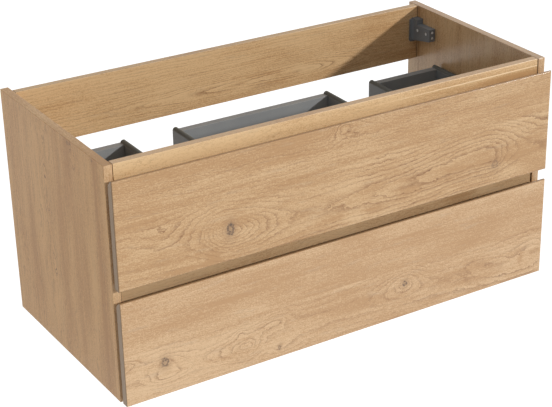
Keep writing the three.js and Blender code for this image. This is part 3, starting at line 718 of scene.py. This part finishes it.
# The axis across a board's faces and the one that its grain runs along, where they aren't y and x.
GRAIN_AXES = {"side_panel_left": ("x", "z"), "side_panel_right": ("x", "z"), "bottom_panel": ("z", "x")}
BOARD_FINISHES = {
    "side_panel_left": dict(
        tint=(1.05, 0.90, 0.655), edge_tint=(1.05, 1.05, 1.08), end_tint=(0.96, 0.90, 0.78),
        edge_tone=-0.5, end_tone=0.15, gloss=0.25,
        end_spots=(
            spot(20, 8, reach=60, height=40, tone=0.7),
            spot(350, 8, reach=130, height=40, tone=-0.5),
        ),
    ),
    "side_panel_right": dict(
        tint=(0.97, 0.965, 0.955), end_tint=(0.82, 0.75, 0.64), gloss=0.65, roughness=0.25,
    ),
    "front_top_rail": dict(
        tint=(1.16, 1.18, 1.14), edge_tint=(0.94, 0.88, 0.80), edge_tone=-0.5, end_gap_shade=True,
    ),
    # The middle rail's darker tint is painted shade, for the shade on it in the gap between the two fronts.
    "middle_rail": dict(tint=(0.80, 0.79, 0.77), end_gap_shade=True),
    "rear_top_rail": dict(
        tint=(1.06, 1.04, 0.98), edge_tint=(0.84, 0.78, 0.62), edge_tone=-0.3, end_gap_shade=True,
    ),
    "upper_drawer_front": dict(is_front=True, arris=4 * MILLIMETRE),
    "lower_drawer_front": dict(is_front=True),
}


def dress_oak_boards():
    for node, planks in oak_planks().items():
        face, grain = GRAIN_AXES.get(node, ("y", "x"))
        name = "oak decor on the " + node.replace("_", " ")
        dress(node, oak_material(name, face, grain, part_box(node), planks, BOARD_FINISHES.get(node, {})))


# ----------------------------------------------------------------------------------------------------------
# Foil, steel and plastics

CREST_BAND = linear(88, 90, 86)


def foil_material(name, dark, pale, with_crest):
    """Anthracite foil on the drawer boards, with a fine pressed grain and a darker band over the crests."""
    material, nodes, shader = new_material(name)
    press = nodes.noise_on_piece(size=0.7, detail=3.0, roughness=0.6)
    cloud = nodes.noise_on_piece(size=60)
    tone = nodes.total(nodes.product(press, 0.6), nodes.product(cloud, 0.4))
    colour = nodes.tint(nodes.stretched(tone), dark, pale)
    if with_crest:
        upward = nodes.parts(nodes.add("ShaderNodeTexCoord").outputs["Normal"])[2]
        colour = nodes.tint(nodes.rise(upward, 0.15, 0.5), colour, CREST_BAND)
    nodes.feed(shader.inputs["Base Color"], colour)
    nodes.feed(shader.inputs["Roughness"], nodes.stretched(press, low=0.36, high=0.46))
    shader.inputs["Specular IOR Level"].default_value = 0.2
    nodes.feed(shader.inputs["Normal"], nodes.bump(press, depth=0.08 * MILLIMETRE, strength=0.5))
    return material


def steel_material():
    """Bright zinc plate, slightly clouded."""
    material, nodes, shader = new_material("zinced steel")
    cloud = nodes.noise_on_piece(size=9, detail=5.0, roughness=0.6)
    colour = nodes.tint(nodes.stretched(cloud), linear(188, 190, 191), linear(208, 209, 207))
    nodes.feed(shader.inputs["Base Color"], colour)
    nodes.feed(shader.inputs["Roughness"], nodes.stretched(cloud, low=0.26, high=0.40))
    shader.inputs["Metallic"].default_value = 1.0
    nodes.feed(shader.inputs["Normal"], nodes.bump(cloud, depth=0.04 * MILLIMETRE, strength=0.4))
    return material


def screw_material():
    """Zinc plate with a dull bloom, as on small screws."""
    material, nodes, shader = new_material("zinced screws")
    cloud = nodes.noise_on_piece(size=2, detail=3.0)
    nodes.feed(shader.inputs["Base Color"], nodes.tint(cloud, linear(222, 225, 228), linear(236, 238, 240)))
    shader.inputs["Metallic"].default_value = 0.25
    shader.inputs["Roughness"].default_value = 0.35
    return material


def moulded_material(name, dark, pale):
    """A moulded plastic with an eroded, matt surface."""
    material, nodes, shader = new_material(name)
    grit = nodes.noise_on_piece(size=0.35, detail=3.0, roughness=0.65)
    nodes.feed(shader.inputs["Base Color"], nodes.tint(nodes.stretched(grit), dark, pale))
    nodes.feed(shader.inputs["Roughness"], nodes.stretched(grit, low=0.42, high=0.55))
    nodes.feed(shader.inputs["Normal"], nodes.bump(grit, depth=0.06 * MILLIMETRE, strength=0.6))
    return material


def dress_drawers_and_fittings(bright_steel):
    """Finishes by material slot, but for the flatter, paler foil on the rear walls and the brighter screws.
    The rear walls' foil is a paler copy of the drawer foil and the drawer foil is set darker: painted light
    on the rear walls, which face the front, and painted shade on the walls that face sideways.
    """
    finishes = {
        # The drawer foil is set darker than the rear walls' foil: painted shade on the walls that face
        # sideways.
        "drawer_foil": foil_material("anthracite drawer foil, partly darkened as painted shade", linear(118, 121, 122), linear(131, 133, 133),
                                     with_crest=True),
        "zinced_steel": steel_material(),
        "hanger_plastic": moulded_material("hanger plastic", linear(104, 109, 114), linear(118, 123, 127)),
        "clip_plastic": moulded_material("clip plastic", linear(120, 122, 122), linear(138, 139, 138)),
    }
    for row in frame["record"]["subparts"]:
        if row["material_slot"] in finishes:
            dress(row["node"], finishes[row["material_slot"]])
    # A paler copy of the drawer foil, without the crest band: painted light on the rear walls.
    rear_wall_foil_painted_light = foil_material("anthracite foil of the rear walls, paler as painted light", linear(134, 136, 137),
                              linear(147, 148, 147), with_crest=False)
    for node in frame["nodes"]:
        if "rear_wall" in node:
            dress(node, rear_wall_foil_painted_light)
        if "screw" in node:
            dress(node, bright_steel)


# ----------------------------------------------------------------------------------------------------------
# Screws of the runners and the locking clips

# Sizes in millimetres, as they follow the holes in the runners and clips.
RUNNER_SCREW_FROM_FRONT = (34, 130, 258)
RUNNER_SCREW_ABOVE_UNDERSIDE = 27.5
RUNNER_SHEET = 1.2
RUNNER_SCREW_LENGTH = 11
CLIP_SCREW_FROM_REAR = 14
CLIP_THICKNESS_AT_SCREW = 6.4
CLIP_SCREW_LENGTH = 14
PAN_HEAD_SCREW = {"Head radius": 3.6, "Head height": 1.9, "Core radius": 1.2, "Thread radius": 1.85,
                  "Drive length": 3.6, "Drive width": 0.8, "Drive depth": 1.1}

# Shares of the head's height and radius from its top to its seat, and shares of a turn down the thread.
HEAD_CONTOUR = ((1.0, 0.62), (0.86, 0.84), (0.56, 0.97), (0.10, 1.0), (0.01, 0.97))
THREAD_CONTOUR = ((0.35, "Core radius"), (0.85, "Thread radius"))
TIP_SHARE = 0.05
THREAD_TURNS = 5
SCREW_SIDES = 20
SOFT_EDGE_ANGLE = math.radians(38)


def turned_solid(nodes, stations):
    """A closed solid turned round Z through stations of height and radius, from the top down."""
    line = nodes.add("GeometryNodeMeshLine")
    line.inputs["Count"].default_value = len(stations)
    index = nodes.add("GeometryNodeInputIndex").outputs[0]

    def at_each_station(values):
        switch = nodes.add("GeometryNodeIndexSwitch", data_type="FLOAT")
        for _ in values[2:]:
            switch.index_switch_items.new()
        for socket, value in zip(switch.inputs, (index, *values)):
            nodes.feed(socket, value)
        return switch.outputs[0]

    heights, radii = zip(*stations)
    places = nodes.vector(0.0, 0.0, at_each_station(heights))
    axis = nodes.chain("GeometryNodeSetPosition", line.outputs[0], Position=places)
    axis = nodes.chain("GeometryNodeMeshToCurve", axis)
    ring = nodes.add("GeometryNodeCurvePrimitiveCircle")
    ring.inputs["Resolution"].default_value = SCREW_SIDES
    sweep = {"Profile Curve": ring.outputs["Curve"], "Scale": at_each_station(radii), "Fill Caps": True}
    return nodes.chain("GeometryNodeCurveToMesh", axis, **sweep)


def pan_head_screw(nodes, given):
    """A screw with its seat at the origin and its head above it."""
    head, rim, length = given["Head height"], given["Head radius"], given["Length"]
    stations = [(nodes.product(head, up), nodes.product(rim, out)) for up, out in HEAD_CONTOUR]
    stations.append((0.0, given["Thread radius"]))
    for turn in range(THREAD_TURNS):
        for part, radius in THREAD_CONTOUR:
            share = (turn + part) / (THREAD_TURNS + 1)
            stations.append((nodes.product(length, -share), given[radius]))
    stations.append((nodes.product(length, -1.0), nodes.product(rim, TIP_SHARE)))
    solid = turned_solid(nodes, stations)
    depth = nodes.product(given["Drive depth"], 2.0)
    sizes = ((given["Drive length"], given["Drive width"]), (given["Drive width"], given["Drive length"]))
    for wide, deep in sizes:
        bar = nodes.add("GeometryNodeMeshCube")
        nodes.feed(bar.inputs["Size"], nodes.vector(wide, deep, depth))
        at_top = nodes.vector(0.0, 0.0, head)
        bar = nodes.chain("GeometryNodeTransform", bar.outputs["Mesh"], Translation=at_top)
        cut = nodes.add("GeometryNodeMeshBoolean", operation="DIFFERENCE", solver="MANIFOLD")
        nodes.feed(cut.inputs["Mesh 1"], solid)
        nodes.feed(cut.inputs["Mesh 2"], bar)
        solid = cut.outputs["Mesh"]
    return solid


def screws_tree():
    """One pan-head screw on each point of a mesh, its head towards the point's "out", turned by chance."""
    tree = bpy.data.node_groups.new("pan-head screws", "GeometryNodeTree")
    tree.interface.new_socket(name="Seats", in_out="INPUT", socket_type="NodeSocketGeometry")
    for name in (*PAN_HEAD_SCREW, "Length"):
        tree.interface.new_socket(name=name, in_out="INPUT", socket_type="NodeSocketFloat")
    tree.interface.new_socket(name="Seed", in_out="INPUT", socket_type="NodeSocketInt")
    tree.interface.new_socket(name="Finish", in_out="INPUT", socket_type="NodeSocketMaterial")
    tree.interface.new_socket(name="Screws", in_out="OUTPUT", socket_type="NodeSocketGeometry")
    nodes = Nodes(tree)
    given = nodes.add("NodeGroupInput").outputs
    solid = pan_head_screw(nodes, given)
    screw = nodes.chain("GeometryNodeSetShadeSmooth", solid, **{"Shade Smooth": True})
    edge_angle = nodes.add("GeometryNodeInputMeshEdgeAngle").outputs["Unsigned Angle"]
    softened = nodes.add("GeometryNodeSetShadeSmooth", domain="EDGE")
    nodes.feed(softened.inputs["Geometry"], screw)
    nodes.feed(softened.inputs["Shade Smooth"], nodes.maths("LESS_THAN", edge_angle, SOFT_EDGE_ANGLE))
    out = nodes.add("GeometryNodeInputNamedAttribute", data_type="FLOAT_VECTOR")
    out.inputs["Name"].default_value = "out"
    upright = nodes.add("FunctionNodeAlignRotationToVector", axis="Z")
    nodes.feed(upright.inputs["Vector"], out.outputs["Attribute"])
    chance = nodes.add("FunctionNodeRandomValue", data_type="FLOAT")
    nodes.feed(chance.inputs["Max"], math.tau)
    nodes.feed(chance.inputs["Seed"], given["Seed"])
    spin = nodes.add("FunctionNodeAxisAngleToRotation")
    nodes.feed(spin.inputs["Angle"], chance.outputs["Value"])
    turned = nodes.add("FunctionNodeRotateRotation", rotation_space="LOCAL")
    nodes.feed(turned.inputs["Rotation"], upright.outputs[0])
    nodes.feed(turned.inputs["Rotate By"], spin.outputs[0])
    screws = nodes.chain("GeometryNodeInstanceOnPoints", given["Seats"], Instance=softened.outputs[0],
                         Rotation=turned.outputs[0])
    screws = nodes.chain("GeometryNodeRealizeInstances", screws)
    screws = nodes.chain("GeometryNodeSetMaterial", screws, Material=given["Finish"])
    nodes.feed(nodes.add("NodeGroupOutput").inputs["Screws"], screws)
    return tree


def add_screws(name, body, tree, finish, seats, length, seed):
    """One piece of screws on a body. Each seat is the point under a head and the way the head looks."""
    mesh = bpy.data.meshes.new(name)
    mesh.from_pydata([point for point, out in seats], [], [])
    outward = mesh.attributes.new("out", "FLOAT_VECTOR", "POINT")
    outward.data.foreach_set("vector", [part for point, out in seats for part in out])
    screws = bpy.data.objects.new(name, mesh)
    bpy.context.scene.collection.objects.link(screws)
    modifier = screws.modifiers.new("screws", "NODES")
    modifier.node_group = tree
    sizes = {**PAN_HEAD_SCREW, "Length": length}
    values = {size: measure * MILLIMETRE for size, measure in sizes.items()}
    values.update({"Seed": seed, "Finish": finish})
    for item in tree.interface.items_tree:
        if item.in_out == "INPUT" and item.name in values:
            modifier[item.identifier] = values[item.name]
    evaluated = screws.evaluated_get(bpy.context.evaluated_depsgraph_get())
    made = bpy.data.meshes.new_from_object(evaluated)
    made.materials.clear()  # cutting leaves an empty slot before the finish
    made.materials.append(finish)
    made.polygons.foreach_set("material_index", [0] * len(made.polygons))
    screws.modifiers.clear()
    screws.data = made
    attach(screws, body)


def runner_seats():
    """Under the heads on the flanges of all four cabinet members, which stand on the side panels."""
    seats = []
    for level in LEVELS:
        for side, inward in SIDES.items():
            low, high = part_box(f"{level}_runner_cabinet_member_{side}")
            flange = low.x if inward > 0 else high.x
            x = flange + inward * RUNNER_SHEET * MILLIMETRE
            z = low.z + RUNNER_SCREW_ABOVE_UNDERSIDE * MILLIMETRE
            for place in RUNNER_SCREW_FROM_FRONT:
                seats.append(((x, low.y + place * MILLIMETRE, z), (inward, 0, 0)))
    return seats


def clip_seats(level):
    """Under the heads below both locking clips of a drawer."""
    seats = []
    for side in SIDES:
        low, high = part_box(f"{level}_locking_clip_{side}")
        y = high.y - CLIP_SCREW_FROM_REAR * MILLIMETRE
        z = high.z - CLIP_THICKNESS_AT_SCREW * MILLIMETRE
        seats.append((((low.x + high.x) / 2, y, z), (0, 0, -1)))
    return seats


def add_small_screws(finish):
    tree = screws_tree()
    add_screws("runner_screws", "carcass", tree, finish, runner_seats(), RUNNER_SCREW_LENGTH, seed=3)
    for level in LEVELS:
        name, body = f"{level}_clip_screws", f"{level}_drawer"
        add_screws(name, body, tree, finish, clip_seats(level), CLIP_SCREW_LENGTH, seed=5)


# ----------------------------------------------------------------------------------------------------------
# Studio

FLOOR_DROP = 0.45
FLOOR_REACH = 30.0
FLOOR_GREY = (0.80, 0.80, 0.80, 1.0)
FLOOR_GLOW = 0.55
WORLD_LIGHT = 0.49
TO_KEY_LIGHT = Vector((0.675, -0.69, 0.332))
TO_LEFT_FILL = Vector((-1.0, 0.0, 0.12))


def add_camera():
    data = bpy.data.cameras.new("studio camera")
    data.lens = 105.33
    data.sensor_width = 36.0
    data.shift_x = -0.1244
    data.shift_y = 0.1015
    camera = bpy.data.objects.new("studio camera", data)
    camera.location = (-1.5766, -2.5799, 1.6093)
    camera.rotation_euler = (math.radians(90 - 27.02), 0.0, math.radians(-33.77))
    bpy.context.scene.collection.objects.link(camera)
    bpy.context.scene.camera = camera


def add_lamp(data, to_lamp):
    """Adds a lamp that shines from the way of to_lamp."""
    lamp = bpy.data.objects.new(data.name, data)
    lamp.rotation_euler = to_lamp.to_track_quat("Z", "Y").to_euler()
    bpy.context.scene.collection.objects.link(lamp)
    return lamp


def add_lamps():
    key = bpy.data.lights.new("key light", "SUN")
    key.energy = 2.4
    key.angle = math.radians(3.0)
    add_lamp(key, TO_KEY_LIGHT)
    fill = bpy.data.lights.new("left fill", "AREA")
    fill.shape = "RECTANGLE"
    fill.size = 2.6
    fill.size_y = 2.0
    fill.energy = 4.0
    add_lamp(fill, TO_LEFT_FILL).location = (-3.2, 0.1, 0.3)


def shows_white(nodes):
    """1 for the rays that see the backdrop directly or in a gloss, 0 for those that light the object."""
    rays = nodes.add("ShaderNodeLightPath").outputs
    seen = nodes.maths("MAXIMUM", rays["Is Camera Ray"], rays["Is Glossy Ray"])
    return nodes.maths("MAXIMUM", seen, rays["Is Transmission Ray"])


def add_world():
    world = bpy.data.worlds.new("studio")
    world.use_nodes = True
    bpy.context.scene.world = world
    nodes = Nodes(world.node_tree)
    background = world.node_tree.nodes["Background"]
    background.inputs["Color"].default_value = WHITE
    nodes.feed(background.inputs["Strength"], nodes.mix(shows_white(nodes), WORLD_LIGHT, 1.0))


def add_floor():
    """The room's pale floor, as far under the cabinet as a wall-hung one hangs."""
    ways = ((-1, -1), (1, -1), (1, 1), (-1, 1))
    level = cad_low.z - FLOOR_DROP
    mesh = bpy.data.meshes.new("studio_floor")
    mesh.from_pydata([(x * FLOOR_REACH, y * FLOOR_REACH, level) for x, y in ways], [], [(0, 1, 2, 3)])
    floor = bpy.data.objects.new("studio_floor", mesh)
    bpy.context.scene.collection.objects.link(floor)
    material, nodes, shader = new_material("pale studio floor")
    shader.inputs["Base Color"].default_value = FLOOR_GREY
    shader.inputs["Roughness"].default_value = 0.9
    shader.inputs["Specular IOR Level"].default_value = 0.0
    shader.inputs["Emission Color"].default_value = WHITE
    nodes.feed(shader.inputs["Emission Strength"], nodes.product(shows_white(nodes), FLOOR_GLOW))
    mesh.materials.append(material)


bpy.context.scene.view_settings.view_transform = "Standard"
add_camera()
add_lamps()
add_world()
add_floor()
dress_oak_boards()
small_screw_steel = screw_material()
dress_drawers_and_fittings(small_screw_steel)
add_small_screws(small_screw_steel)
